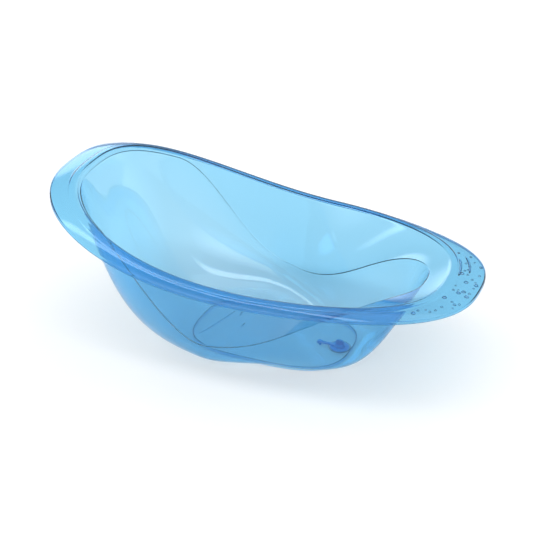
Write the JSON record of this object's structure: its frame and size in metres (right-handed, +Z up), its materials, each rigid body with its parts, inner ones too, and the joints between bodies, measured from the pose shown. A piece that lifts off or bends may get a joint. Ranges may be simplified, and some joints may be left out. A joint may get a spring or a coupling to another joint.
{
  "type": "baby bathtub",
  "caption": "Boat-shaped baby bathtub moulded in clear blue plastic, with a raised reclining head end, a narrowing leg channel, a broad rolled rim and a drain stopper on a strap.",
  "frame": {"origin": "middle of the tub's outline, on the surface that the tub stands on", "axes": "+X towards the foot end, +Y across the tub, +Z up; the head end is at -X and is the higher one"},
  "size_m": [0.95, 0.541, 0.3502],
  "materials": {
    "tub_plastic": "clear, sky-blue tint, glossy",
    "plug_plastic": "satin",
    "seal_rubber": "matte"
  },
  "bodies": {
    "tub": {"tub_shell": "tub_plastic", "strap_anchor": "plug_plastic", "strap_stud": "plug_plastic"},
    "strap": {"plug_strap": "plug_plastic"},
    "plug": {"drain_plug": "plug_plastic", "plug_seal": "seal_rubber"}
  },
  "joints": [
    {"name": "strap_hinge", "type": "hinge", "parent": "tub", "child": "strap", "pos_m": [0.14, 0, 0.0116], "axis": [0, -1, 0], "range_deg": [0, 95]},
    {"name": "plug_swivel", "type": "hinge", "parent": "strap", "child": "plug", "pos_m": [0.174, 0, 0.0116], "axis": [0, 0, 1], "continuous": true}
  ]
}
